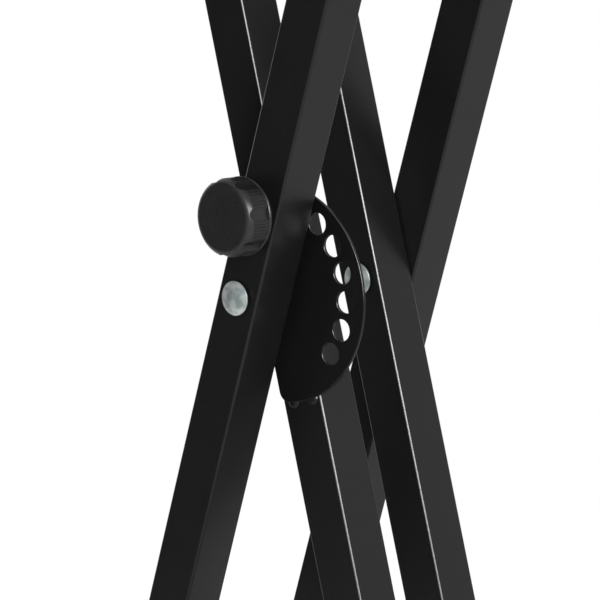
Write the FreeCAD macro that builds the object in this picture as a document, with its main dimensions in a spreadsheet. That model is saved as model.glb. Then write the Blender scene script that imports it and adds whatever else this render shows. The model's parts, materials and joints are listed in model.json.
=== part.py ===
import FreeCAD, Part
import math
import os
import re
import Sketcher

# A folding keyboard stand: two pairs of square tubes cross at one pivot line, and a spring-loaded
# pin on the front outer leg drops into a half-moon index plate on the front inner leg.
# Millimetres, +Z up, -Y to the front. The origin is on the floor below the middle of the pivot line.
# Both frames have local axes of their own: z runs up the leg, x across it, with the pivot at zero.

SIZES = {
    # Square tube of the legs and bars
    "tube_width": 30.0,
    "tube_wall": 1.2,
    "tube_corner": 1.5,
    "tube_least_corner": 0.4,
    "leg_length": 940.0,
    "top_bar_length": 380.0,
    "foot_bar_length": 440.0,
    # Lean of each leg from upright at the tallest setting, in degrees
    "tilt": 16.3,
    # Room between the legs along the pivot line
    "front_spacer_thickness": 4.6,
    "rear_spacer_thickness": 0.7,
    "leg_gap": 39.6,
    "axial_play": 0.1,
    # Index plate
    "plate_thickness": 1.6,
    "plate_rim": 5.6,
    "plate_centre_across": 2.0,
    "plate_centre_drop": 1.4,
    "plate_corner": 7.0,
    "plate_edge_rounding": 0.4,
    "hole_circle_radius": 52.0,
    "hole_pitch": 18.5,
    "hole_count": 7,
    "hole_play": 0.4,
    "folded_angle": 7.0,
    # Weld beads under and over the plate
    "bead_length": 8.2,
    "bead_width": 3.6,
    "bead_height": 1.5,
    "bead_middle": 1.2,
    "bead_spread": 7.6,
    # Pivot bolts, sleeves, spacers and nuts
    "pivot_diameter": 8.0,
    "pivot_head_diameter": 20.0,
    "pivot_head_height": 4.9,
    "pivot_head_rim": 0.8,
    "pivot_collar_diameter": 12.4,
    "pivot_collar_height": 1.5,
    "running_play": 0.05,
    "sleeve_wall": 3.0,
    "spacer_ring": 6.5,
    "pivot_washer_ring": 6.0,
    "pivot_washer_thickness": 1.6,
    "nut_wall": 2.5,
    "nut_height": 6.5,
    "nut_collar_height": 1.5,
    "bolt_end": 2.0,
    # Bolts that hold the bars to the leg ends
    "bar_bolt_diameter": 8.0,
    "bar_bolt_head_lip": 3.0,
    "bar_bolt_head_height": 4.4,
    "bar_bolt_head_rounding": 3.0,
    "bar_bolt_hole_play": 0.3,
    "hex_key_width": 5.0,
    "hex_key_depth": 2.6,
    "bar_washer_ring": 3.7,
    "bar_washer_thickness": 1.6,
    "insert_length": 16.0,
    "insert_play": 0.1,
    # Rubber caps on the bar ends
    "cap_wall": 4.8,
    "sole_wall": 4.4,
    "cap_grip": 40.0,
    "cap_end_wall": 8.0,
    "cap_play": 0.05,
    "cap_end_rounding": 5.0,
    "cap_mouth_rounding": 1.5,
    "stop_lip": 3.0,
    "stop_thickness": 9.0,
    "stop_rounding": 3.0,
    # Lock pin, guide bush, clip and spring
    "pin_diameter": 12.0,
    "pin_tip_chamfer": 1.2,
    "pin_tip_gap": 1.0,
    "pin_wall_play": 0.25,
    "lock_stroke": 5.0,
    "bush_flange_lip": 3.0,
    "bush_flange_height": 2.0,
    "bush_wall": 3.0,
    "bush_barrel_length": 8.0,
    "clip_lip": 3.3,
    "clip_thickness": 1.2,
    "clip_groove_depth": 1.0,
    "clip_slot": 8.0,
    "clip_stop_gap": 0.4,
    "spring_wire": 1.4,
    "spring_pin_play": 0.9,
    "spring_turns": 4,
    "spring_seat_play": 0.05,
    # Knob
    "knob_diameter": 44.9,
    "knob_height": 16.8,
    "knob_locked_gap": 6.3,
    "knob_edge_rounding": 5.3,
    "knob_rim_height": 1.4,
    "knob_rim_lip": 0.2,
    "knob_rim_bevel": 0.5,
    "knob_rim_wall": 4.5,
    "knob_recess_depth": 11.0,
    "knob_hub_wall": 4.0,
    "knob_stop_gap": 0.3,
    "knob_pin_depth": 11.0,
    "flute_count": 7,
    "flute_radius": 6.8,
    "flute_depth": 1.8,
    "rib_count": 6,
    "rib_spacing_deg": 4.6,
    "rib_groove_diameter": 0.9,
    "knob_turn": 26.3,
}

DERIVED = {
    "tube_inside": "tube_width - 2 * tube_wall",
    "inner_corner": "max(tube_corner - tube_wall; tube_least_corner)",
    "bar_offset": "leg_length / 2 + tube_width / 2",
    "cap_radius": "tube_width / sqrt(2) + cap_wall",
    "sole_drop": "tube_width / 2 * (cos(tilt) + sin(tilt)) + sole_wall",
    "stop_radius": "cap_radius + stop_lip",
    "pivot_height": "bar_offset * cos(tilt) + sole_drop",
    "front_gap": "axial_play + front_spacer_thickness",
    "rear_gap": "rear_spacer_thickness + axial_play",
    "stack_depth": "4 * tube_width + front_gap + plate_thickness + leg_gap + rear_gap",
    "outer_front_face": "-stack_depth / 2",
    "outer_front_y": "outer_front_face + tube_width / 2",
    "plate_face": "outer_front_face + tube_width + front_gap",
    "inner_front_face": "plate_face + plate_thickness",
    "inner_front_y": "inner_front_face + tube_width / 2",
    "inner_rear_face": "inner_front_face + tube_width + leg_gap",
    "inner_rear_y": "inner_rear_face + tube_width / 2",
    "outer_rear_face": "inner_rear_face + tube_width + rear_gap",
    "outer_rear_y": "outer_rear_face + tube_width / 2",
    "pivot_bore": "pivot_diameter + 2 * running_play",
    "sleeve_diameter": "pivot_bore + 2 * sleeve_wall",
    "spacer_diameter": "pivot_bore + 2 * spacer_ring",
    "pivot_washer_diameter": "pivot_bore + 2 * pivot_washer_ring",
    "nut_width": "pivot_diameter + 2 * nut_wall",
    "bar_bolt_hole": "bar_bolt_diameter + 2 * bar_bolt_hole_play",
    "bar_bolt_head_diameter": "bar_bolt_diameter + 2 * bar_bolt_head_lip",
    "bar_washer_diameter": "bar_bolt_hole + 2 * bar_washer_ring",
    "pin_bore": "pin_diameter + 2 * running_play",
    "pin_hole": "pin_diameter + 2 * hole_play",
    "plate_radius": "hole_circle_radius + pin_hole / 2 + plate_rim",
    "first_hole_angle": "2 * tilt",
    "bush_barrel_diameter": "pin_bore + 2 * bush_wall",
    "bush_flange_diameter": "bush_barrel_diameter + 2 * bush_flange_lip",
    "clip_diameter": "pin_diameter + 2 * clip_lip",
    "spring_diameter": "pin_diameter + 2 * spring_pin_play + spring_wire",
    "clip_floor": "lock_stroke + clip_stop_gap - tube_width + tube_wall",
    "clip_top": "clip_floor + clip_thickness",
    "bush_floor": "-tube_wall - bush_barrel_length",
    "knob_back": "lock_stroke + knob_locked_gap",
    "knob_front": "knob_back + knob_height",
    "knob_hub_back": "lock_stroke + bush_flange_height + knob_stop_gap",
    "knob_hub_diameter": "pin_diameter + 2 * knob_hub_wall",
    "knob_radius": "knob_diameter / 2",
    "knob_rim_radius": "knob_radius + knob_rim_lip",
}

doc = FreeCAD.newDocument("keyboard_stand")
sheet = doc.addObject("Spreadsheet::Sheet", "Sizes")
for row, (size_name, size_value) in enumerate(SIZES.items(), start=1):
    sheet.set(f"A{row}", size_name)
    sheet.set(f"B{row}", str(size_value))
    sheet.setAlias(f"B{row}", size_name)
doc.recompute()

UP = FreeCAD.Vector(0, 0, 1)
pieces = []


# Sizes and expressions

def expand(text):
    """Turn size names in a formula into references to the sheet."""
    def swap(match):
        word = match.group(0)
        if word in SIZES:
            return f"Sizes.{word}"
        if word in DERIVED:
            return f"({expand(DERIVED[word])})"
        return word
    return re.sub(r"[a-z_]+", swap, text)


def value(text):
    """The present number of a formula."""
    result = sheet.evalExpression(expand(text))
    return float(getattr(result, "Value", result))


def bind(target, prop, text):
    """Tie one property to the sheet."""
    target.setExpression(prop, expand(text))


def at(x="0", y="0", z="0", axis="0; 1; 0", angle="0"):
    """Text of a placement: a turn about an axis through the origin, then a move."""
    return f"placement(vector({x}; {y}; {z}); rotation(vector({axis}); {angle}))"


OUTER = at(z="pivot_height", angle="tilt")
INNER = at(z="pivot_height", angle="-tilt")
TO_FRONT = at(axis="1; 0; 0", angle="90")
TO_REAR = at(axis="1; 0; 0", angle="-90")
UPSIDE_DOWN = at(axis="1; 0; 0", angle="180")


def place(target, *steps):
    """Place a piece by turns and moves, the outermost first."""
    bind(target, "Placement", " * ".join(steps))


def keep(target, label):
    """Count an object as a piece of the stand, under its own name."""
    target.Label = label
    pieces.append(target)
    return target


# Sketches and features

def new_body(name):
    return doc.addObject("PartDesign::Body", name)


def new_sketch(owner, name, role):
    """A sketch on one of the body's own origin planes."""
    plane = next(item for item in owner.Origin.OriginFeatures if item.Role == role)
    sketch = owner.newObject("Sketcher::SketchObject", name)
    sketch.AttachmentSupport = (plane, [""])
    sketch.MapMode = "FlatFace"
    return sketch


def dimension(sketch, kind, *where, text):
    """Add one dimension that follows a formula."""
    index = sketch.addConstraint(Sketcher.Constraint(kind, *where, value(text)))
    bind(sketch, f"Constraints[{index}]", text)


def fix_point(sketch, geometry, point, x, y):
    """Hold a point at sketch coordinates given by formulas."""
    for kind, text, axis in (("DistanceX", x, -2), ("DistanceY", y, -1)):
        if text == "0":
            sketch.addConstraint(Sketcher.Constraint("PointOnObject", geometry, point, axis))
        else:
            dimension(sketch, kind, -1, 1, geometry, point, text=text)


def draw_circle(sketch, diameter, x="0", y="0"):
    centre = FreeCAD.Vector(value(x), value(y), 0)
    circle = sketch.addGeometry(Part.Circle(centre, UP, value(diameter) / 2))
    fix_point(sketch, circle, 3, x, y)
    dimension(sketch, "Diameter", circle, text=diameter)


def draw_outline(sketch, corners):
    """A closed outline of straight lines through corners given by formulas."""
    points = [FreeCAD.Vector(value(x), value(y), 0) for x, y in corners]
    count = len(points)
    lines = []
    for index in range(count):
        segment = Part.LineSegment(points[index], points[(index + 1) % count])
        lines.append(sketch.addGeometry(segment))
    for index in range(count):
        following = lines[(index + 1) % count]
        sketch.addConstraint(Sketcher.Constraint("Coincident", lines[index], 2, following, 1))
        fix_point(sketch, lines[index], 1, *corners[index])


def draw_rounded_square(sketch, width, radius):
    """A square about the sketch's origin, with a quarter arc at each corner."""
    half = value(width) / 2
    inset = half - value(radius)
    ends = [((-inset, -half), (inset, -half)), ((half, -inset), (half, inset)),
            ((inset, half), (-inset, half)), ((-half, inset), (-half, -inset))]
    centres = [(inset, -inset), (inset, inset), (-inset, inset), (-inset, -inset)]
    lines = []
    arcs = []
    for side in range(4):
        start, end = (FreeCAD.Vector(*point, 0) for point in ends[side])
        lines.append(sketch.addGeometry(Part.LineSegment(start, end)))
    for corner in range(4):
        circle = Part.Circle(FreeCAD.Vector(*centres[corner], 0), UP, value(radius))
        first = math.radians(90 * corner - 90)
        arcs.append(sketch.addGeometry(Part.ArcOfCircle(circle, first, first + math.pi / 2)))
    for corner in range(4):
        following = lines[(corner + 1) % 4]
        sketch.addConstraint(Sketcher.Constraint("Tangent", lines[corner], 2, arcs[corner], 1))
        sketch.addConstraint(Sketcher.Constraint("Tangent", arcs[corner], 2, following, 1))
        direction = "Vertical" if corner % 2 else "Horizontal"
        sketch.addConstraint(Sketcher.Constraint(direction, lines[corner]))
    for arc in arcs[1:]:
        sketch.addConstraint(Sketcher.Constraint("Equal", arcs[0], arc))
    sketch.addConstraint(Sketcher.Constraint("Symmetric", arcs[0], 3, arcs[2], 3, -1, 1))
    dimension(sketch, "Radius", arcs[0], text=radius)
    dimension(sketch, "DistanceX", lines[3], 1, lines[1], 1, text=width)
    dimension(sketch, "DistanceY", lines[0], 1, lines[2], 1, text=width)


def draw_hexagon(sketch, width):
    """A hexagon about the origin, given by its width across flats."""
    corner = f"{width} / sqrt(3)"
    half_side = f"{width} / sqrt(3) / 2"
    flat = f"{width} / 2"
    draw_outline(sketch, [(corner, "0"), (half_side, flat), (f"-{half_side}", flat),
                          (f"-{corner}", "0"), (f"-{half_side}", f"-{flat}"), (half_side, f"-{flat}")])


def pad(owner, sketch, length, symmetric=False, backwards=False):
    feature = owner.newObject("PartDesign::Pad", "Pad")
    feature.Profile = sketch
    feature.Midplane = symmetric
    feature.Reversed = backwards
    bind(feature, "Length", length)
    return feature


def cut_through(owner, sketch):
    """Cut a sketch right through the body, both ways from its plane."""
    feature = owner.newObject("PartDesign::Pocket", "Cut")
    feature.Profile = sketch
    feature.Type = "ThroughAll"
    feature.Midplane = True
    return feature


def cut_depth(owner, sketch, depth, backwards=False):
    """Cut a sketch to a depth, against its plane's normal unless it is turned round."""
    feature = owner.newObject("PartDesign::Pocket", "Cut")
    feature.Profile = sketch
    feature.Reversed = backwards
    bind(feature, "Length", depth)
    return feature


def revolve(owner, sketch):
    """Turn an upright profile about the body's z axis."""
    feature = owner.newObject("PartDesign::Revolution", "Revolution")
    feature.Profile = sketch
    feature.ReferenceAxis = (sketch, ["V_Axis"])
    feature.Angle = 360
    return feature


def repeat_round(owner, sketch, feature, count, angle):
    """Repeat a feature about the normal of its sketch."""
    pattern = owner.newObject("PartDesign::PolarPattern", "Pattern")
    pattern.Originals = [feature]
    pattern.Axis = (sketch, ["N_Axis"])
    bind(pattern, "Angle", angle)
    bind(pattern, "Occurrences", count)
    owner.Tip = pattern
    return pattern


def round_edges(owner, feature, wanted, radius):
    """Fillet the edges of a feature that a test picks out."""
    doc.recompute()
    names = [f"Edge{number}" for number, edge in enumerate(feature.Shape.Edges, start=1) if wanted(edge)]
    fillet = owner.newObject("PartDesign::Fillet", "Fillet")
    fillet.Base = (feature, names)
    bind(fillet, "Radius", radius)
    return fillet


def ring(name, outside, inside, length):
    """A plain ring or sleeve from the origin up its z axis."""
    owner = new_body(name)
    sketch = new_sketch(owner, "Section", "XY_Plane")
    draw_circle(sketch, outside)
    draw_circle(sketch, inside)
    pad(owner, sketch, length)
    return owner


def group(label, original, places):
    """Identical pieces in one node: a copy of the original at each place."""
    links = []
    for steps in places:
        link = doc.addObject("App::Link", f"{label}_copy")
        link.LinkedObject = original
        place(link, *steps)
        links.append(link)
    compound = doc.addObject("Part::Compound", label)
    compound.Links = links
    keep(compound, label)


# Legs and bars

def square_tube(name, role, length):
    """A square tube, centred on the origin and extruded along the normal of a plane."""
    owner = new_body(name)
    sketch = new_sketch(owner, "Section", role)
    draw_rounded_square(sketch, "tube_width", "tube_corner")
    draw_rounded_square(sketch, "tube_inside", "inner_corner")
    pad(owner, sketch, length, symmetric=True)
    return owner


def leg(label, frame, y, neck_in_front):
    """A leg with its pivot hole, and a square seat for the bolt's neck in the front wall."""
    owner = square_tube(label, "XY_Plane", "leg_length")
    pivot = new_sketch(owner, "PivotHole", "XZ_Plane")
    draw_circle(pivot, "pivot_bore")
    cut_through(owner, pivot)
    if neck_in_front:
        neck = new_sketch(owner, "NeckSeat", "XZ_Plane")
        half = "pivot_bore / 2"
        draw_outline(neck, [(f"-{half}", f"-{half}"), (half, f"-{half}"), (half, half), (f"-{half}", half)])
        cut_depth(owner, neck, "tube_width / 2", backwards=True)
    place(owner, frame, at(y=y))
    return keep(owner, label)


def add_lock_holes(owner):
    """Holes in the front outer leg for the guide bush and for the pin behind it."""
    rear = new_sketch(owner, "PinHole", "XZ_Plane")
    draw_circle(rear, "pin_diameter + 2 * pin_wall_play", y="hole_circle_radius")
    cut_through(owner, rear)
    front = new_sketch(owner, "BushHole", "XZ_Plane")
    draw_circle(front, "bush_barrel_diameter", y="hole_circle_radius")
    cut_depth(owner, front, "tube_width / 2", backwards=True)


def add_storage_hole(owner):
    """Hole in the front wall of the inner leg that takes the pin when the stand is folded."""
    hole = new_sketch(owner, "StorageHole", "XZ_Plane")
    draw_circle(hole, "pin_hole", "hole_circle_radius * sin(folded_angle)",
                "hole_circle_radius * cos(folded_angle)")
    cut_depth(owner, hole, "tube_width / 2", backwards=True)


def bar(label, frame, length, z, leg_places):
    """A bar across the two leg ends, with its bolt holes."""
    owner = square_tube(label, "XZ_Plane", length)
    holes = new_sketch(owner, "BoltHoles", "XY_Plane")
    for y in leg_places:
        draw_circle(holes, "bar_bolt_hole", y=y)
    cut_through(owner, holes)
    place(owner, frame, at(z=z))
    keep(owner, label)


# Fasteners

def domed_bolt(label, shank, *steps):
    """A bolt with a low dome on a collar and a square neck: the head is below the origin, the shank above."""
    owner = new_body(label)
    head = new_sketch(owner, "Head", "XZ_Plane")
    rim = value("pivot_head_diameter") / 2
    rim_top = "pivot_collar_height + pivot_head_rim"
    crown = value("pivot_head_height")
    dome = crown - value(rim_top)
    sphere = (rim * rim + dome * dome) / (2 * dome)
    centre = FreeCAD.Vector(0, sphere - crown, 0)
    start = -math.pi / 2
    end = start + math.asin(rim / sphere)
    corners = [("0", "0"), ("pivot_collar_diameter / 2", "0"),
               ("pivot_collar_diameter / 2", "-pivot_collar_height"),
               ("pivot_head_diameter / 2", "-pivot_collar_height"),
               ("pivot_head_diameter / 2", f"-({rim_top})")]
    points = [FreeCAD.Vector(0, -crown, 0)]
    points += [FreeCAD.Vector(value(x), value(y), 0) for x, y in corners]
    lines = [head.addGeometry(Part.LineSegment(*ends)) for ends in zip(points, points[1:])]
    arc = head.addGeometry(Part.ArcOfCircle(Part.Circle(centre, UP, sphere), start, end))
    for first, second in zip(lines, lines[1:]):
        head.addConstraint(Sketcher.Constraint("Coincident", first, 2, second, 1))
    head.addConstraint(Sketcher.Constraint("Coincident", lines[-1], 2, arc, 2))
    head.addConstraint(Sketcher.Constraint("Coincident", arc, 1, lines[0], 1))
    head.addConstraint(Sketcher.Constraint("Coincident", lines[0], 2, -1, 1))
    head.addConstraint(Sketcher.Constraint("PointOnObject", arc, 3, -2))
    head.addConstraint(Sketcher.Constraint("PointOnObject", lines[0], 1, -2))
    for line, corner in zip(lines[1:], corners[1:]):
        fix_point(head, line, 2, *corner)
    dimension(head, "DistanceY", -1, 1, lines[0], 1, text="-pivot_head_height")
    revolve(owner, head)
    neck = new_sketch(owner, "Neck", "XY_Plane")
    half = "pivot_diameter / 2"
    draw_outline(neck, [(f"-{half}", f"-{half}"), (half, f"-{half}"), (half, half), (f"-{half}", half)])
    pad(owner, neck, "tube_wall")
    body_of_bolt = new_sketch(owner, "Shank", "XY_Plane")
    draw_circle(body_of_bolt, "pivot_diameter")
    pad(owner, body_of_bolt, shank)
    place(owner, *steps)
    keep(owner, label)


def lock_nut(label, *steps):
    """A hexagon nut with a round nylon collar, from its seat at the origin upwards."""
    owner = new_body(label)
    hexagon = new_sketch(owner, "Hexagon", "XY_Plane")
    draw_hexagon(hexagon, "nut_width")
    pad(owner, hexagon, "nut_height")
    collar = new_sketch(owner, "Collar", "XY_Plane")
    draw_circle(collar, "nut_width - nut_collar_height")
    pad(owner, collar, "nut_height + nut_collar_height")
    bore = new_sketch(owner, "Bore", "XY_Plane")
    draw_circle(bore, "pivot_bore")
    cut_through(owner, bore)
    place(owner, *steps)
    keep(owner, label)


def button_bolt(name):
    """A socket button-head bolt: the head is above the origin, the shank below."""
    owner = new_body(name)
    shank = new_sketch(owner, "Shank", "XY_Plane")
    draw_circle(shank, "bar_bolt_diameter")
    pad(owner, shank, "bar_washer_thickness + tube_width + insert_length - 2 * tube_wall", backwards=True)
    head = new_sketch(owner, "Head", "XY_Plane")
    draw_circle(head, "bar_bolt_head_diameter")
    top = pad(owner, head, "bar_bolt_head_height")
    edge_height = value("bar_bolt_head_height")
    round_edges(owner, top, lambda edge: abs(edge.BoundBox.ZMin - edge_height) < 1e-6,
                "min(bar_bolt_head_rounding; 0.8 * bar_bolt_head_height)")
    key = new_sketch(owner, "Key", "XY_Plane")
    bind(key, "AttachmentOffset", at(z="bar_bolt_head_height"))
    draw_hexagon(key, "hex_key_width")
    cut_depth(owner, key, "hex_key_depth")
    return owner


def leg_insert(name):
    """A threaded block that closes a leg end, flush with it at the origin and reaching down."""
    owner = new_body(name)
    block = new_sketch(owner, "Block", "XY_Plane")
    draw_rounded_square(block, "tube_inside - 2 * insert_play", "inner_corner")
    draw_circle(block, "bar_bolt_diameter")
    pad(owner, block, "insert_length", backwards=True)
    return owner


# Rubber caps

def rubber_cap(label, lean, bar_length, z_sign, x_sign, y_sign, is_top):
    """A cap on a bar end: round, with a flat where it meets the floor or the keyboard.

    Its own axes stay level with the floor: y points out of the bar end, and the square socket
    leans with the bar. The flat is below, and a top cap is the same cap turned over, with a round
    flange at its end that stops the keyboard.
    """
    owner = new_body(label)
    half_flat = "sqrt(cap_radius * cap_radius - sole_drop * sole_drop)"
    section = new_sketch(owner, "Section", "XZ_Plane")
    radius = value("cap_radius")
    flat = FreeCAD.Vector(value(half_flat), -value("sole_drop"), 0)
    other = FreeCAD.Vector(-flat.x, flat.y, 0)
    first = math.atan2(flat.y, flat.x)
    round_side = section.addGeometry(Part.ArcOfCircle(
        Part.Circle(FreeCAD.Vector(0, 0, 0), UP, radius), first, math.pi - first))
    sole = section.addGeometry(Part.LineSegment(other, flat))
    section.addConstraint(Sketcher.Constraint("Coincident", round_side, 2, sole, 1))
    section.addConstraint(Sketcher.Constraint("Coincident", sole, 2, round_side, 1))
    section.addConstraint(Sketcher.Constraint("Coincident", round_side, 3, -1, 1))
    section.addConstraint(Sketcher.Constraint("Horizontal", sole))
    dimension(section, "Radius", round_side, text="cap_radius")
    dimension(section, "DistanceY", -1, 1, sole, 1, text="-sole_drop")
    shell = pad(owner, section, "cap_grip + cap_end_wall", backwards=True)
    shell = round_edges(owner, shell, lambda edge: abs(edge.BoundBox.YMax) < 1e-6, "cap_mouth_rounding")
    if is_top:
        stop = new_sketch(owner, "Stop", "XZ_Plane")
        bind(stop, "AttachmentOffset", at(z="stop_thickness - cap_grip - cap_end_wall"))
        draw_circle(stop, "2 * stop_radius")
        flange = pad(owner, stop, "stop_thickness", backwards=True)
        rim_length = 2 * math.pi * value("stop_radius")
        round_edges(owner, flange, lambda edge: abs(edge.Length - rim_length) < 1e-6,
                    "min(stop_rounding; 0.8 * stop_lip)")
    else:
        out = value("cap_grip + cap_end_wall")
        round_edges(owner, shell, lambda edge: abs(edge.BoundBox.YMin - out) < 1e-6, "cap_end_rounding")
    socket = new_sketch(owner, "Socket", "XZ_Plane")
    bind(socket, "AttachmentOffset", at(axis="0; 0; 1", angle=lean))
    draw_rounded_square(socket, "tube_width + 2 * cap_play", "tube_corner")
    cut_depth(owner, socket, "cap_grip")
    turn_over = [at(axis="0; 1; 0", angle="180")] if is_top else []
    face_front = [at(axis="0; 0; 1", angle="180")] if y_sign < 0 else []
    place(owner, at(f"{x_sign} * bar_offset * sin(tilt)", f"{y_sign} * ({bar_length} / 2 - cap_grip)",
                    f"pivot_height + {z_sign} * bar_offset * cos(tilt)"), *face_front, *turn_over)
    keep(owner, label)


# Index plate and its welds

def index_plate(label):
    """A half-moon plate on the front of the inner leg, its straight edge flush with the tube's side."""
    owner = new_body(label)
    outline = new_sketch(owner, "Outline", "XZ_Plane")
    radius = value("plate_radius")
    centre = FreeCAD.Vector(value("plate_centre_across"), -value("plate_centre_drop"), 0)
    reach = -value("tube_width") / 2 - centre.x
    half_edge = math.sqrt(radius * radius - reach * reach)
    corner = centre + FreeCAD.Vector(reach, half_edge, 0)
    mirrored = centre + FreeCAD.Vector(reach, -half_edge, 0)
    end = math.atan2(half_edge, reach)
    arc = outline.addGeometry(Part.ArcOfCircle(Part.Circle(centre, UP, radius), -end, end))
    edge = outline.addGeometry(Part.LineSegment(corner, mirrored))
    outline.addConstraint(Sketcher.Constraint("Coincident", arc, 2, edge, 1))
    outline.addConstraint(Sketcher.Constraint("Coincident", edge, 2, arc, 1))
    outline.addConstraint(Sketcher.Constraint("Vertical", edge))
    fix_point(outline, arc, 3, "plate_centre_across", "-plate_centre_drop")
    dimension(outline, "Radius", arc, text="plate_radius")
    dimension(outline, "DistanceX", -1, 1, edge, 1, text="-tube_width / 2")
    blank = pad(owner, outline, "plate_thickness")
    thickness = value("plate_thickness")
    round_edges(owner, blank, lambda item: abs(item.Length - thickness) < 1e-6, "plate_corner")
    fixed_holes = new_sketch(owner, "FixedHoles", "XZ_Plane")
    draw_circle(fixed_holes, "pivot_bore")
    draw_circle(fixed_holes, "pin_hole", "hole_circle_radius * sin(folded_angle)",
                "hole_circle_radius * cos(folded_angle)")
    cut_through(owner, fixed_holes)
    last_angle = "first_hole_angle + (hole_count - 1) * hole_pitch"
    height_hole = new_sketch(owner, "LowestSetting", "XZ_Plane")
    draw_circle(height_hole, "pin_hole", f"hole_circle_radius * sin({last_angle})",
                f"hole_circle_radius * cos({last_angle})")
    hole = cut_through(owner, height_hole)
    holes = repeat_round(owner, height_hole, hole, "hole_count", "(hole_count - 1) * hole_pitch")
    round_edges(owner, holes, lambda item: abs(item.BoundBox.YMax + thickness) < 1e-6, "plate_edge_rounding")
    place(owner, INNER, at(y="inner_front_face"))
    keep(owner, label)


def plate_welds(label):
    """Short fillet welds between the leg's face and the rim of the plate, two at each end."""
    rim = doc.addObject("Part::Cylinder", "WeldReach")
    bind(rim, "Radius", "plate_radius + bead_width")
    bind(rim, "Height", "bead_height")
    disc = doc.addObject("Part::Cylinder", "PlateDisc")
    bind(disc, "Radius", "plate_radius")
    bind(disc, "Height", "plate_thickness")
    for cylinder in (rim, disc):
        place(cylinder, at("plate_centre_across", "-plate_centre_drop"))
    zone = doc.addObject("Part::Cut", "WeldZone")
    zone.Base = rim
    zone.Tool = disc
    beads = []
    for end in ("1", "-1"):
        for side in ("1", "-1"):
            x = f"(bead_middle + {side} * bead_spread)"
            bulge = doc.addObject("Part::Ellipsoid", "Bulge")
            bulge.Angle1 = -90
            bulge.Angle2 = 90
            bind(bulge, "Radius1", "bead_height")
            bind(bulge, "Radius2", "bead_length / 2")
            bind(bulge, "Radius3", "bead_width")
            aside = f"({x} - plate_centre_across)"
            rise = f"sqrt(plate_radius * plate_radius - {aside} * {aside})"
            place(bulge, at(x, f"{end} * {rise} - plate_centre_drop"))
            bead = doc.addObject("Part::Common", "Bead")
            bead.Base = bulge
            bead.Tool = zone
            beads.append(bead)
    welds = doc.addObject("Part::Compound", label)
    welds.Links = beads
    place(welds, INNER, at(y="inner_front_face"), TO_FRONT)
    keep(welds, label)


# Lock: every piece has its z axis along the pin, outwards, with zero at the front face of the leg

LOCK = (OUTER, at(y="outer_front_face", z="hole_circle_radius"), TO_FRONT)


def guide_bush(label):
    owner = new_body(label)
    profile = new_sketch(owner, "Profile", "XZ_Plane")
    draw_outline(profile, [("pin_bore / 2", "bush_floor"), ("bush_barrel_diameter / 2", "bush_floor"),
                           ("bush_barrel_diameter / 2", "0"), ("bush_flange_diameter / 2", "0"),
                           ("bush_flange_diameter / 2", "bush_flange_height"),
                           ("pin_bore / 2", "bush_flange_height")])
    revolve(owner, profile)
    place(owner, *LOCK)
    keep(owner, label)


def lock_pin(label):
    owner = new_body(label)
    profile = new_sketch(owner, "Profile", "XZ_Plane")
    tip = "pin_tip_gap - tube_width - front_gap"
    draw_outline(profile, [("0", tip), ("pin_diameter / 2 - pin_tip_chamfer", tip),
                           ("pin_diameter / 2", f"{tip} + pin_tip_chamfer"),
                           ("pin_diameter / 2", "clip_floor"),
                           ("pin_diameter / 2 - clip_groove_depth", "clip_floor"),
                           ("pin_diameter / 2 - clip_groove_depth", "clip_top"),
                           ("pin_diameter / 2", "clip_top"),
                           ("pin_diameter / 2", "knob_hub_back + knob_pin_depth"),
                           ("0", "knob_hub_back + knob_pin_depth")])
    revolve(owner, profile)
    place(owner, *LOCK)
    keep(owner, label)


def lock_clip(label):
    """A snap clip in the pin's groove, open at one side."""
    owner = ring(label, "clip_diameter", "pin_diameter - 2 * clip_groove_depth", "clip_thickness")
    mouth = new_sketch(owner, "Mouth", "XY_Plane")
    draw_outline(mouth, [("0", "-clip_slot / 2"), ("clip_diameter", "-clip_slot / 2"),
                         ("clip_diameter", "clip_slot / 2"), ("0", "clip_slot / 2")])
    cut_through(owner, mouth)
    place(owner, *LOCK, at(z="clip_floor"))
    keep(owner, label)


def arc_between(start, tangent_corner, end):
    """The arc that leaves start and reaches end along the lines to their shared corner."""
    middle = (start + end) * 0.5
    rise = tangent_corner - middle
    half_chord = (end - start).Length / 2
    slope = math.atan2(rise.Length, half_chord)
    return Part.Arc(start, middle + rise * (math.tan(slope / 2) / math.tan(slope)), end)


def helix_arcs(radius, floor, height, turns):
    """A helix up the z axis from a floor, as tangent arcs, two to each quarter turn."""
    steps = 4 * turns
    turn = math.pi / 2
    rise = height / steps
    points = []
    tangents = []
    for step in range(steps + 1):
        angle = step * turn
        level = floor + step * rise
        points.append(FreeCAD.Vector(radius * math.cos(angle), radius * math.sin(angle), level))
        tangent = FreeCAD.Vector(-radius * math.sin(angle), radius * math.cos(angle), rise / turn)
        tangents.append(tangent.normalize())
    arcs = []
    for step in range(steps):
        chord = points[step + 1] - points[step]
        both = tangents[step] + tangents[step + 1]
        square = both.dot(both) - 4
        linear = -2 * chord.dot(both)
        reach = (-linear - math.sqrt(linear * linear - 4 * square * chord.dot(chord))) / (2 * square)
        if reach < 0:
            reach = (-linear + math.sqrt(linear * linear - 4 * square * chord.dot(chord))) / (2 * square)
        first = points[step] + tangents[step] * reach
        second = points[step + 1] - tangents[step + 1] * reach
        joint = (first + second) * 0.5
        arcs.append(arc_between(points[step], first, joint))
        arcs.append(arc_between(joint, second, points[step + 1]))
    return points, tangents, arcs


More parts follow.
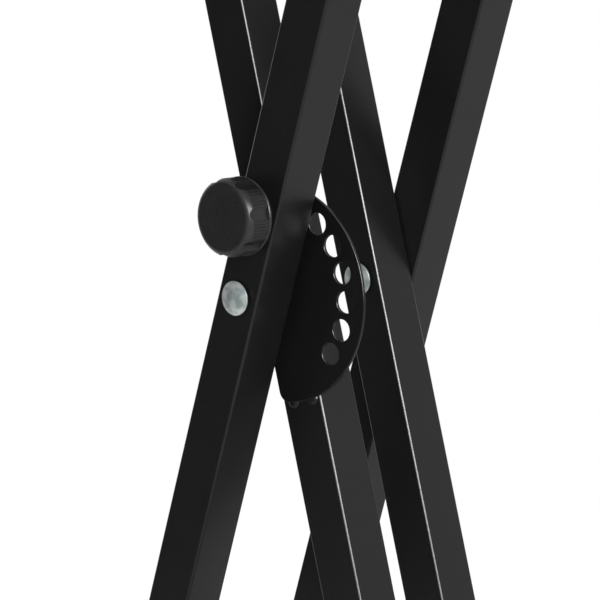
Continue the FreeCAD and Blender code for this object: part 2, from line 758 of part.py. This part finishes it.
def lock_spring(label):
    """An open compression spring round the pin, between the guide bush and the clip."""
    wire = value("spring_wire")
    turns = int(value("spring_turns"))
    floor = value("clip_top + spring_wire / 2 + spring_seat_play")
    height = value("bush_floor - clip_top - spring_wire - 2 * spring_seat_play")
    radius = value("spring_diameter") / 2
    points, tangents, arcs = helix_arcs(radius, floor, height, turns)
    spine = Part.Wire([arc.toShape() for arc in arcs])
    section = Part.Wire([Part.Circle(points[0], tangents[0], wire / 2).toShape()])
    spring = doc.addObject("Part::Feature", label)
    spring.Shape = spine.makePipeShell([section], True, False)
    place(spring, *LOCK)
    print(f"{label}: least gap between turns {height / turns - wire:.2f} mm")
    keep(spring, label)


def lock_knob(label):
    """A round moulded knob: hollow at the back round its hub, fluted, with fine ribs between."""
    owner = new_body(label)
    profile = new_sketch(owner, "Profile", "XZ_Plane")
    rim_inside = "knob_radius - knob_rim_wall"
    recess_top = "knob_back + knob_recess_depth"
    draw_outline(profile, [("pin_diameter / 2", "knob_hub_back"), ("knob_hub_diameter / 2", "knob_hub_back"),
                           ("knob_hub_diameter / 2", recess_top), (rim_inside, recess_top),
                           (rim_inside, "knob_back"), ("knob_radius", "knob_back"),
                           ("knob_radius", "knob_front"), ("0", "knob_front"),
                           ("0", "knob_hub_back + knob_pin_depth"),
                           ("pin_diameter / 2", "knob_hub_back + knob_pin_depth")])
    blank = revolve(owner, profile)
    front = value("knob_front")
    round_edges(owner, blank, lambda edge: abs(edge.BoundBox.ZMin - front) < 1e-6, "knob_edge_rounding")
    flute_sketch = new_sketch(owner, "Flute", "XY_Plane")
    draw_circle(flute_sketch, "2 * flute_radius", "knob_radius - flute_depth + flute_radius")
    flute = cut_through(owner, flute_sketch)
    repeat_round(owner, flute_sketch, flute, "flute_count", "360")
    rib_sketch = new_sketch(owner, "RibGrooves", "XY_Plane")
    for index in range(int(value("rib_count"))):
        angle = f"(180 / flute_count + ({index} - (rib_count - 1) / 2) * rib_spacing_deg)"
        draw_circle(rib_sketch, "rib_groove_diameter", f"knob_radius * cos({angle})",
                    f"knob_radius * sin({angle})")
    grooves = cut_through(owner, rib_sketch)
    repeat_round(owner, rib_sketch, grooves, "flute_count", "360")
    rim = new_sketch(owner, "RearRim", "XZ_Plane")
    rim_top = "knob_back + knob_rim_height"
    draw_outline(rim, [(rim_inside, "knob_back"), ("knob_rim_radius", "knob_back"),
                       ("knob_rim_radius", f"{rim_top} - knob_rim_bevel"),
                       ("knob_rim_radius - knob_rim_bevel", rim_top), (rim_inside, rim_top)])
    revolve(owner, rim)
    place(owner, *LOCK, at(axis="0; 0; 1", angle="knob_turn"))
    keep(owner, label)


# The whole stand

def build_frame(name, frame, sign, legs):
    """One frame's bars, caps, inserts and bolts. Its two legs stand at the given places along y."""
    bars = (("top", "top_bar_length", "1"), ("foot", "foot_bar_length", "-1"))
    ends = (("front", -1), ("rear", 1))
    bolt = button_bolt(f"{name}_bolt")
    washer = ring(f"{name}_washer", "bar_washer_diameter", "bar_bolt_hole", "bar_washer_thickness")
    insert = leg_insert(f"{name}_insert")
    leg_ends = []
    for kind, length, up in bars:
        bar(f"{name}_{kind}_bar", frame, length, f"{up} * bar_offset", legs)
        lean_side = sign if up == "1" else -sign
        for end, y_sign in ends:
            lean = "-tilt" if sign * y_sign > 0 else "tilt"
            rubber_cap(f"{name}_{kind}_cap_{end}", lean, length, up, lean_side, y_sign, kind == "top")
        for y in legs:
            leg_ends.append((frame, at(y=y), *([] if up == "1" else [UPSIDE_DOWN])))
    outer_face = at(z="bar_offset + tube_width / 2")
    group(f"{name}_bar_washers", washer, [(*steps, outer_face) for steps in leg_ends])
    head_seat = at(z="bar_offset + tube_width / 2 + bar_washer_thickness")
    group(f"{name}_bar_bolts", bolt, [(*steps, head_seat) for steps in leg_ends])
    group(f"{name}_leg_inserts", insert, [(*steps, at(z="leg_length / 2")) for steps in leg_ends])
    sleeve = ring(f"{name}_sleeve", "sleeve_diameter", "pivot_bore", "tube_inside")
    group(f"{name}_pivot_sleeves", sleeve,
          [(frame, at(y=f"{y} - tube_inside / 2"), TO_REAR) for y in legs])


def pivot_hardware():
    """Bolts, washers and nuts of the two pivots, and the spacers between the legs."""
    tail = "axial_play + pivot_washer_thickness + nut_height + nut_collar_height + bolt_end"
    front_grip = "2 * tube_width + front_gap + plate_thickness"
    rear_grip = "2 * tube_width + rear_gap"
    domed_bolt("front_pivot_bolt", f"{front_grip} + {tail}", OUTER, at(y="outer_front_face"), TO_REAR)
    domed_bolt("rear_pivot_bolt", f"{rear_grip} + {tail}", INNER, at(y="inner_rear_face"), TO_REAR)
    ends = (("front", OUTER, "inner_front_face + tube_width + axial_play"),
            ("rear", INNER, "outer_rear_face + tube_width + axial_play"))
    for end, frame, seat in ends:
        washer = ring(f"{end}_pivot_washer", "pivot_washer_diameter", "pivot_bore", "pivot_washer_thickness")
        place(washer, frame, at(y=seat), TO_REAR)
        keep(washer, f"{end}_pivot_washer")
        lock_nut(f"{end}_pivot_nut", frame, at(y=f"{seat} + pivot_washer_thickness"), TO_REAR)
    for end, thickness, y in (("front", "front_spacer_thickness", "plate_face - front_spacer_thickness"),
                              ("rear", "rear_spacer_thickness", "inner_rear_face + tube_width")):
        spacer = ring(f"{end}_pivot_spacer", "spacer_diameter", "pivot_bore", thickness)
        place(spacer, INNER, at(y=y), TO_REAR)
        keep(spacer, f"{end}_pivot_spacer")


add_lock_holes(leg("outer_leg_front", OUTER, "outer_front_y", neck_in_front=True))
leg("outer_leg_rear", OUTER, "outer_rear_y", neck_in_front=False)
add_storage_hole(leg("inner_leg_front", INNER, "inner_front_y", neck_in_front=False))
leg("inner_leg_rear", INNER, "inner_rear_y", neck_in_front=True)
build_frame("outer", OUTER, 1, ("outer_front_y", "outer_rear_y"))
build_frame("inner", INNER, -1, ("inner_front_y", "inner_rear_y"))
pivot_hardware()
index_plate("index_plate")
plate_welds("plate_welds")
guide_bush("lock_guide_bush")
lock_pin("lock_pin")
lock_clip("lock_clip")
lock_spring("lock_spring")
lock_knob("lock_knob")
doc.recompute()

for item in doc.Objects:
    if "Invalid" in item.State or "Error" in item.State:
        raise RuntimeError(f"{item.Label} failed: {item.State}")
for piece in pieces:
    if piece.Shape.isNull() or not piece.Shape.isValid() or not piece.Shape.Solids:
        raise RuntimeError(f"{piece.Label} has no sound solid")

os.makedirs("parts", exist_ok=True)
for piece in pieces:
    piece.Shape.exportStep(f"parts/{piece.Label}.step")
print(f"{len(pieces)} pieces written")
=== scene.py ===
import json
import math

import bpy
from mathutils import Matrix, Vector


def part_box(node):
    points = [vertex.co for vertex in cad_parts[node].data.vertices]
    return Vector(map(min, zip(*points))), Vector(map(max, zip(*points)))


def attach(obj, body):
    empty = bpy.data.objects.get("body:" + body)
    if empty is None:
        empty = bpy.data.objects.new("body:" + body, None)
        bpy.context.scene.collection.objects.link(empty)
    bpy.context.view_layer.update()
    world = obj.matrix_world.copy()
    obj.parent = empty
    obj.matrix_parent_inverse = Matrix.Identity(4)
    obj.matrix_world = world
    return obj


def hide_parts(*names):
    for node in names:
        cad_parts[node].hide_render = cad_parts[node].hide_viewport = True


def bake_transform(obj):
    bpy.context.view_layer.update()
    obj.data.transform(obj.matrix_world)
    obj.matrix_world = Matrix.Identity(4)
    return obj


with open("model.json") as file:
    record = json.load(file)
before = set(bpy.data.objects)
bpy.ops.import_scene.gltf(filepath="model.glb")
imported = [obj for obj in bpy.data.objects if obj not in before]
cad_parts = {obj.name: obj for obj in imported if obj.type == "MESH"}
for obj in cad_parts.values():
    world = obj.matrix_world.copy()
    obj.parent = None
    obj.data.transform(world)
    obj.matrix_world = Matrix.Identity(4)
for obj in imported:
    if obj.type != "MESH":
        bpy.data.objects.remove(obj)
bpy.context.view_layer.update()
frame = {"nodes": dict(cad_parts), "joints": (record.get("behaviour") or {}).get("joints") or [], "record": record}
scene = bpy.context.scene
scene.view_settings.view_transform = "Standard"

# Metres, in the frame of the CAD part: +Z up, -Y to the front, the origin on the floor.

MM = 0.001
WHITE = (1.0, 1.0, 1.0, 1.0)

# Camera, fitted to the edges of the four tubes in the photograph
IMAGE_PX = 600
SENSOR_WIDTH_MM = 36.0
FOCAL_PX = 3014.72
CAMERA_AZIMUTH = 42.537
CAMERA_ELEVATION = 9.112
CAMERA_ROLL = 0.720
CAMERA_DISTANCE = 1.69716
AIM_RIGHT = 0.048985
AIM_UP = 0.004601

# Stage and light
FLOOR_RADIUS = 1.7
FLOOR_RIM_POINTS = 96
FLOOR_GLOW = 0.36
FLOOR_FADE = (1.0, 1.6)
ROOM_LEVEL = 0.2
FLAG_AZIMUTH = -42.5
FLAG_DISTANCE = 0.9
FLAG_SIZE = (1.1, 1.3)
FLAG_GREY = 0.2
KEY = {"azimuth": 50.0, "elevation": 8.0, "distance": 2.2, "size": (0.5, 1.5), "watts": 54.0}
SHEEN = {"azimuth": 52, "elevation": 19, "distance": 2.2, "size": (2.2, 0.75), "watts": 55.5}
BACK = {"azimuth": 225.0, "elevation": 35.0, "distance": 2.4, "size": (1.4, 1.4), "watts": 30.0}

# Finishes: levels are shares of white, and cells are features per metre
PAINT_BLACK = (0.0056, 0.0070)
PAINT_GLOSS = 0.21
PAINT_ROUGHNESS = (0.28, 0.32)
# Grey and metallic on the paint's upper corners: a painted highlight for the lamps' bright edge lines
PAINT_CORNER_HIGHLIGHT = 0.108
KNOB_BLACK = (0.0126, 0.0150)
KNOB_GLOSS = 0.21
# Grey and metallic on the knob's rounded edge: a painted highlight
KNOB_EDGE_HIGHLIGHT = 0.042
RUBBER_BLACK = (0.011, 0.016)
RUBBER_GLOSS = 0.1
NYLON_BLACK = (0.014, 0.019)
STEEL_GREY = (0.42, 0.56)
FLOOR_WHITE = (0.86, 0.88)
DUST_CELLS = 120.0
DUST_SIZE = 0.034
DUST_ON_PAINT = 0.09
DUST_ON_KNOB = 0.12
EDGE_SAMPLES = 8

# Zinc: positions on the noise, and the plating's colour there
ZINC_PATCHES = [
    (0.38, (0.20, 0.24, 0.24)),
    (0.5, (0.29, 0.33, 0.325)),
    (0.62, (0.44, 0.465, 0.445)),
]

# Thread of the pivot bolts
THREAD_PITCH = 1.25 * MM
THREAD_ROOT = 3.9 * MM
THREAD_CREST = 4.2 * MM
THREAD_WIDTH = 0.8 * MM
THREAD_STEPS_PER_TURN = 48


# Node helpers

def new_material(name):
    """A material with its node tree, its shader and the object's own coordinates."""
    material = bpy.data.materials.new(name)
    material.use_nodes = True
    nodes = material.node_tree.nodes
    place = nodes.new("ShaderNodeTexCoord").outputs["Object"]
    return material, material.node_tree, nodes["Principled BSDF"], place


def noise(tree, place, scale, detail=3.0, roughness=0.5):
    """A noise whose scale is in features per metre."""
    node = tree.nodes.new("ShaderNodeTexNoise")
    node.inputs["Scale"].default_value = scale
    node.inputs["Detail"].default_value = detail
    node.inputs["Roughness"].default_value = roughness
    tree.links.new(place, node.inputs["Vector"])
    return node.outputs["Fac"]


def spread(tree, factor, low, high, start=0.3, end=0.7):
    """Stretch a factor between start and end to the range from low to high."""
    node = tree.nodes.new("ShaderNodeMapRange")
    node.inputs["From Min"].default_value = start
    node.inputs["From Max"].default_value = end
    node.inputs["To Min"].default_value = low
    node.inputs["To Max"].default_value = high
    tree.links.new(factor, node.inputs["Value"])
    return node.outputs["Result"]


def ramp(tree, factor, stops):
    """A colour ramp through (position, colour) stops."""
    node = tree.nodes.new("ShaderNodeValToRGB")
    elements = node.color_ramp.elements
    while len(elements) < len(stops):
        elements.new(0.5)
    for element, (position, colour) in zip(elements, stops):
        element.position = position
        element.color = (*colour, 1.0)
    tree.links.new(factor, node.inputs["Fac"])
    return node.outputs["Color"]


def calculate(tree, operation, first, second):
    """The result of two values, each a number or a socket."""
    node = tree.nodes.new("ShaderNodeMath")
    node.operation = operation
    for socket, value in zip(node.inputs, (first, second)):
        if isinstance(value, float):
            socket.default_value = value
        else:
            tree.links.new(value, socket)
    return node.outputs[0]


def shades(tree, factor, levels):
    """Greys from the first level to the second, by a noise."""
    return ramp(tree, factor, [(0.3, grey(levels[0])), (0.7, grey(levels[1]))])


def mix(tree, factor, under, over):
    """Two colours by a factor; the second one is a plain colour."""
    node = tree.nodes.new("ShaderNodeMix")
    node.data_type = "RGBA"
    tree.links.new(factor, node.inputs["Factor"])
    tree.links.new(under, node.inputs["A"])
    node.inputs["B"].default_value = (*over, 1.0)
    return node.outputs["Result"]


def bump(tree, shader, height, distance, strength=1.0, soft_edge=0.0):
    """Drive the shader's normal with a height field, and soften the sharp edges by a radius."""
    node = tree.nodes.new("ShaderNodeBump")
    node.inputs["Strength"].default_value = strength
    node.inputs["Distance"].default_value = distance
    tree.links.new(height, node.inputs["Height"])
    if soft_edge:
        edge = tree.nodes.new("ShaderNodeBevel")
        edge.samples = EDGE_SAMPLES
        edge.inputs["Radius"].default_value = soft_edge
        tree.links.new(edge.outputs["Normal"], node.inputs["Normal"])
    tree.links.new(node.outputs["Normal"], shader.inputs["Normal"])


def corners(tree, place, only_up):
    """One on the rounded corners between a front or rear face and a side, zero on the flat faces."""
    normal = tree.nodes.new("ShaderNodeSeparateXYZ")
    tree.links.new(place.node.outputs["Normal"], normal.inputs[0])
    facing = calculate(tree, "MULTIPLY", normal.outputs["Y"], normal.outputs["Y"])
    product = calculate(tree, "MULTIPLY", facing, calculate(tree, "SUBTRACT", 1.0, facing))
    mask = spread(tree, product, 0.0, 1.0, 0.06, 0.2)
    # only_up keeps the painted highlight to the upward-facing corners, where they mirror the lamps.
    if only_up:
        mask = calculate(tree, "MULTIPLY", mask, spread(tree, normal.outputs["Z"], 0.0, 1.0, 0.02, 0.08))
    return mask


def paint_corner_highlight(tree, shader, place, colour, level, only_up):
    """A painted highlight on the corners: metallic and a lighter grey there, over the surface's own colour."""
    highlight_mask = corners(tree, place, only_up)
    tree.links.new(highlight_mask, shader.inputs["Metallic"])
    return mix(tree, highlight_mask, colour, grey(level))


def dust(tree, place):
    """One in the few grains of dust that lie on a surface, as a factor."""
    node = tree.nodes.new("ShaderNodeTexVoronoi")
    node.inputs["Scale"].default_value = DUST_CELLS
    tree.links.new(place, node.inputs["Vector"])
    return spread(tree, node.outputs["Distance"], 1.0, 0.0, DUST_SIZE * 0.6, DUST_SIZE)


def shows_background(tree):
    """One for the rays that show the background: straight, mirrored or through glass."""
    path = tree.nodes.new("ShaderNodeLightPath")
    total = path.outputs["Is Camera Ray"]
    for kind in ("Is Glossy Ray", "Is Transmission Ray"):
        total = calculate(tree, "MAXIMUM", total, path.outputs[kind])
    return total


def grey(level, tint=(1.0, 1.0, 1.0)):
    return tuple(level * share for share in tint)


# Materials

def powder_coat(name, peel, soft_edge=0.0, shade=1.0):
    """Satin black powder coat: orange peel, a cloudy gloss, a painted highlight on the upper corners and some
    dust.
    """
    material, tree, shader, place = new_material(name)
    cloud = noise(tree, place, 14.0)
    paint = shades(tree, cloud, [level * shade for level in PAINT_BLACK])
    # Painted highlight: the upper corners are metallic and a lighter grey.
    paint = paint_corner_highlight(tree, shader, place, paint, PAINT_CORNER_HIGHLIGHT, only_up=True)
    dusty = mix(tree, dust(tree, place), paint, grey(DUST_ON_PAINT))
    tree.links.new(dusty, shader.inputs["Base Color"])
    tree.links.new(spread(tree, noise(tree, place, 45.0), *PAINT_ROUGHNESS), shader.inputs["Roughness"])
    shader.inputs["Specular IOR Level"].default_value = PAINT_GLOSS
    bump(tree, shader, noise(tree, place, 900.0, detail=2.0), peel, strength=0.35, soft_edge=soft_edge)
    return material


def zinc_plate(name, shade=1.0):
    """Dull zinc on the fasteners, with cloudy blue-grey patches in the plating."""
    material, tree, shader, place = new_material(name)
    shader.inputs["Metallic"].default_value = 0.45
    patches = noise(tree, place, 165.0, detail=3.0, roughness=0.55)
    plating = [(position, grey(shade, colour)) for position, colour in ZINC_PATCHES]
    tree.links.new(ramp(tree, patches, plating), shader.inputs["Base Color"])
    tree.links.new(spread(tree, patches, 0.46, 0.34), shader.inputs["Roughness"])
    bump(tree, shader, noise(tree, place, 700.0), 0.03 * MM, strength=0.5, soft_edge=0.9 * MM)
    return material


def bare_steel():
    """Machined steel of the pin, clip, spring, sleeves and inserts."""
    material, tree, shader, place = new_material("bare_steel")
    shader.inputs["Metallic"].default_value = 1.0
    marks = noise(tree, place, 420.0, detail=4.0)
    tree.links.new(shades(tree, marks, STEEL_GREY), shader.inputs["Base Color"])
    tree.links.new(spread(tree, marks, 0.26, 0.4), shader.inputs["Roughness"])
    return material


def knob_plastic():
    """Moulded black plastic with a fine spark-eroded grain and a painted highlight on its rounded edge."""
    material, tree, shader, place = new_material("knob_plastic")
    cloud = noise(tree, place, 60.0)
    black = shades(tree, cloud, KNOB_BLACK)
    # Painted highlight: the rounded edge is metallic and a lighter grey.
    black = paint_corner_highlight(tree, shader, place, black, KNOB_EDGE_HIGHLIGHT, only_up=False)
    dusty = mix(tree, dust(tree, place), black, grey(DUST_ON_KNOB))
    tree.links.new(dusty, shader.inputs["Base Color"])
    tree.links.new(spread(tree, noise(tree, place, 300.0), 0.26, 0.34), shader.inputs["Roughness"])
    shader.inputs["Specular IOR Level"].default_value = KNOB_GLOSS
    bump(tree, shader, noise(tree, place, 1300.0, detail=2.0), 0.006 * MM, strength=0.2)
    return material


def rubber():
    """Matte black rubber of the caps."""
    material, tree, shader, place = new_material("rubber")
    cloud = noise(tree, place, 40.0)
    tree.links.new(shades(tree, cloud, RUBBER_BLACK), shader.inputs["Base Color"])
    tree.links.new(spread(tree, noise(tree, place, 150.0), 0.6, 0.75), shader.inputs["Roughness"])
    shader.inputs["Specular IOR Level"].default_value = RUBBER_GLOSS
    bump(tree, shader, noise(tree, place, 1800.0, detail=2.0), 0.03 * MM, strength=0.5)
    return material


def nylon():
    """Black nylon of the pivot spacers."""
    material, tree, shader, place = new_material("nylon")
    cloud = noise(tree, place, 120.0)
    tree.links.new(shades(tree, cloud, NYLON_BLACK), shader.inputs["Base Color"])
    tree.links.new(spread(tree, cloud, 0.42, 0.5), shader.inputs["Roughness"])
    return material


def floor_paint():
    """Pale floor: darker where the stand shades it, and as white as the background at its rim."""
    material, tree, shader, place = new_material("floor_paint")
    tree.links.new(shades(tree, noise(tree, place, 3.0), FLOOR_WHITE), shader.inputs["Base Color"])
    shader.inputs["Roughness"].default_value = 0.9
    shader.inputs["Specular IOR Level"].default_value = 0.2
    shader.inputs["Emission Color"].default_value = WHITE
    shown = shows_background(tree)
    glow = spread(tree, shown, 0.0, FLOOR_GLOW, 0.0, 1.0)
    tree.links.new(glow, shader.inputs["Emission Strength"])
    radius = tree.nodes.new("ShaderNodeVectorMath")
    radius.operation = "LENGTH"
    tree.links.new(place, radius.inputs[0])
    rim = spread(tree, radius.outputs["Value"], 0.0, 1.0, *FLOOR_FADE)
    white = tree.nodes.new("ShaderNodeEmission")
    blend = tree.nodes.new("ShaderNodeMixShader")
    tree.links.new(calculate(tree, "MULTIPLY", rim, shown), blend.inputs["Fac"])
    tree.links.new(shader.outputs[0], blend.inputs[1])
    tree.links.new(white.outputs[0], blend.inputs[2])
    tree.links.new(blend.outputs[0], tree.nodes["Material Output"].inputs["Surface"])
    return material


def flag_cloth():
    """Dark cloth of the flag."""
    material, tree, shader, place = new_material("flag_cloth")
    weave = noise(tree, place, 5.0)
    tree.links.new(shades(tree, weave, (FLAG_GREY * 0.95, FLAG_GREY)), shader.inputs["Base Color"])
    shader.inputs["Roughness"].default_value = 1.0
    shader.inputs["Specular IOR Level"].default_value = 0.0
    return material


FINISHES = {
    "black_coat": powder_coat("powder_coat", peel=0.02 * MM),
    "zinc": zinc_plate("zinc_plate"),
    "bare_steel": bare_steel(),
    "knob_plastic": knob_plastic(),
    "nylon": nylon(),
    "rubber": rubber(),
}
SPECIAL_FINISHES = {
    # The plate's coat is the black paint at 0.68 of its level: painted shade for its place behind the front leg.
    "index_plate": powder_coat("plate_coat", peel=0.02 * MM, soft_edge=0.7 * MM, shade=0.68),
    "plate_welds": powder_coat("weld_coat", peel=0.3 * MM),
    # The rear bolt's zinc is a touch darker (0.98): painted shade.
    "rear_pivot_bolt": zinc_plate("zinc_painted_shade", shade=0.98),
}


def dress_nodes():
    """Give every CAD node its own finish, or the finish of its material slot."""
    slots = {row["node"]: row["material_slot"] for row in frame["record"]["subparts"]}
    for name, node in frame["nodes"].items():
        node.data.materials.clear()
        node.data.materials.append(SPECIAL_FINISHES.get(name, FINISHES[slots[name]]))


def add_thread(name, body, start, end):
    """A ridge that winds round the pivot's axis, on the bolt end that stands out of its nut."""
    first, last = start + THREAD_WIDTH / 2, end - THREAD_WIDTH / 2
    steps = round((last - first) / THREAD_PITCH * THREAD_STEPS_PER_TURN)
    profile = ((-THREAD_WIDTH / 2, THREAD_ROOT), (0.0, THREAD_CREST), (THREAD_WIDTH / 2, THREAD_ROOT))
    points, faces = [], [(2, 1, 0)]
    for step in range(steps + 1):
        turn = 2 * math.pi * step / THREAD_STEPS_PER_TURN
        along = first + (last - first) * step / steps
        for aside, radius in profile:
            points.append((radius * math.sin(turn), along + aside, pivot.z + radius * math.cos(turn)))
    for step in range(steps):
        near, far = 3 * step, 3 * step + 3
        for corner in range(3):
            after = (corner + 1) % 3
            faces.append((near + corner, near + after, far + after, far + corner))
    faces.append((3 * steps, 3 * steps + 1, 3 * steps + 2))
    mesh = bpy.data.meshes.new(name)
    mesh.from_pydata(points, [], faces)
    ridge = bpy.data.objects.new(name, mesh)
    ridge.data.materials.append(FINISHES["zinc"])
    scene.collection.objects.link(ridge)
    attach(ridge, body)


def add_threads():
    for end, body in (("front", "outer_frame"), ("rear", "inner_frame")):
        nut_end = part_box(f"{end}_pivot_nut")[1].y
        bolt_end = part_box(f"{end}_pivot_bolt")[1].y
        add_thread(f"{end}_pivot_thread", body, nut_end, bolt_end)


def add_spring():
    """The lock's spring, whose one end stays on the bush and the other goes with the pin: here a fixed copy of its
    mesh stands in for the hidden CAD node.
    """
    coil = bpy.data.objects.new("lock_spring_coil", frame["nodes"]["lock_spring"].data.copy())
    scene.collection.objects.link(coil)
    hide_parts("lock_spring")
    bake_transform(coil)


# Stage, light and camera

def direction(azimuth, elevation):
    """From the object outwards: azimuth 0 is the front, 90 the right side."""
    around, up = math.radians(azimuth), math.radians(elevation)
    return Vector((math.sin(around) * math.cos(up), -math.cos(around) * math.cos(up), math.sin(up)))


def add_stage(name, points, material):
    """One flat face that isn't part of the object."""
    mesh = bpy.data.meshes.new(name)
    mesh.from_pydata(points, [], [range(len(points))])
    panel = bpy.data.objects.new(name, mesh)
    panel.data.materials.append(material)
    scene.collection.objects.link(panel)
    return panel


def add_floor():
    turns = (2 * math.pi * step / FLOOR_RIM_POINTS for step in range(FLOOR_RIM_POINTS))
    rim = [(FLOOR_RADIUS * math.cos(turn), FLOOR_RADIUS * math.sin(turn), 0.0) for turn in turns]
    add_stage("floor", rim, floor_paint())


def add_flag():
    """A dark panel at the front left, that only the gloss of the front faces shows."""
    middle = direction(FLAG_AZIMUTH, 0.0) * FLAG_DISTANCE
    along = Vector((-middle.y, middle.x, 0.0)).normalized() * FLAG_SIZE[0] / 2
    height = Vector((0.0, 0.0, FLAG_SIZE[1]))
    outline = [middle - along, middle + along, middle + along + height, middle - along + height]
    flag = add_stage("flag", outline, flag_cloth())
    flag.visible_camera = False
    flag.visible_diffuse = False
    flag.visible_shadow = False


def add_softbox(name, azimuth, elevation, distance, size, watts, diffuse=True, gloss=True):
    """An area lamp that looks at the pivot, which the camera doesn't see."""
    lamp = bpy.data.lights.new(name, "AREA")
    lamp.shape = "RECTANGLE"
    lamp.size, lamp.size_y = size
    lamp.energy = watts
    holder = bpy.data.objects.new(name, lamp)
    outward = direction(azimuth, elevation)
    holder.location = pivot + outward * distance
    holder.rotation_mode = "QUATERNION"
    holder.rotation_quaternion = (-outward).to_track_quat("-Z", "Y")
    holder.visible_camera = False
    holder.visible_diffuse = diffuse
    holder.visible_glossy = gloss
    scene.collection.objects.link(holder)


def add_world():
    """A white background, and a dimmer room as light."""
    world = bpy.data.worlds.new("studio")
    world.use_nodes = True
    tree = world.node_tree
    background = tree.nodes["Background"]
    pick = tree.nodes.new("ShaderNodeMix")
    pick.data_type = "RGBA"
    pick.inputs["A"].default_value = (*grey(ROOM_LEVEL), 1.0)
    pick.inputs["B"].default_value = WHITE
    tree.links.new(shows_background(tree), pick.inputs["Factor"])
    tree.links.new(pick.outputs["Result"], background.inputs["Color"])
    scene.world = world


def add_camera(target):
    lens = bpy.data.cameras.new("camera")
    lens.sensor_width = SENSOR_WIDTH_MM
    lens.lens = FOCAL_PX / IMAGE_PX * SENSOR_WIDTH_MM
    camera = bpy.data.objects.new("camera", lens)
    back = direction(CAMERA_AZIMUTH, CAMERA_ELEVATION)
    right = Vector((math.cos(math.radians(CAMERA_AZIMUTH)), math.sin(math.radians(CAMERA_AZIMUTH)), 0.0))
    axes = Matrix((right, back.cross(right), back)).transposed().to_4x4()
    spin = Matrix.Rotation(math.radians(CAMERA_ROLL), 4, "Z")
    camera.matrix_world = Matrix.Translation(target + back * CAMERA_DISTANCE) @ axes @ spin
    scene.collection.objects.link(camera)
    scene.camera = camera


pivot_joint = next(joint for joint in frame["joints"] if joint["name"] == "leg_fold")
pivot = Vector(pivot_joint["pos_m"])
front_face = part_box("outer_leg_front")[0].y

dress_nodes()
add_threads()
add_spring()
add_floor()
add_flag()
add_world()
add_softbox("key", **KEY, gloss=False)
add_softbox("sheen", **SHEEN, diffuse=False)
add_softbox("back", **BACK, gloss=False)
add_camera(Vector((AIM_RIGHT, front_face, pivot.z + AIM_UP)))
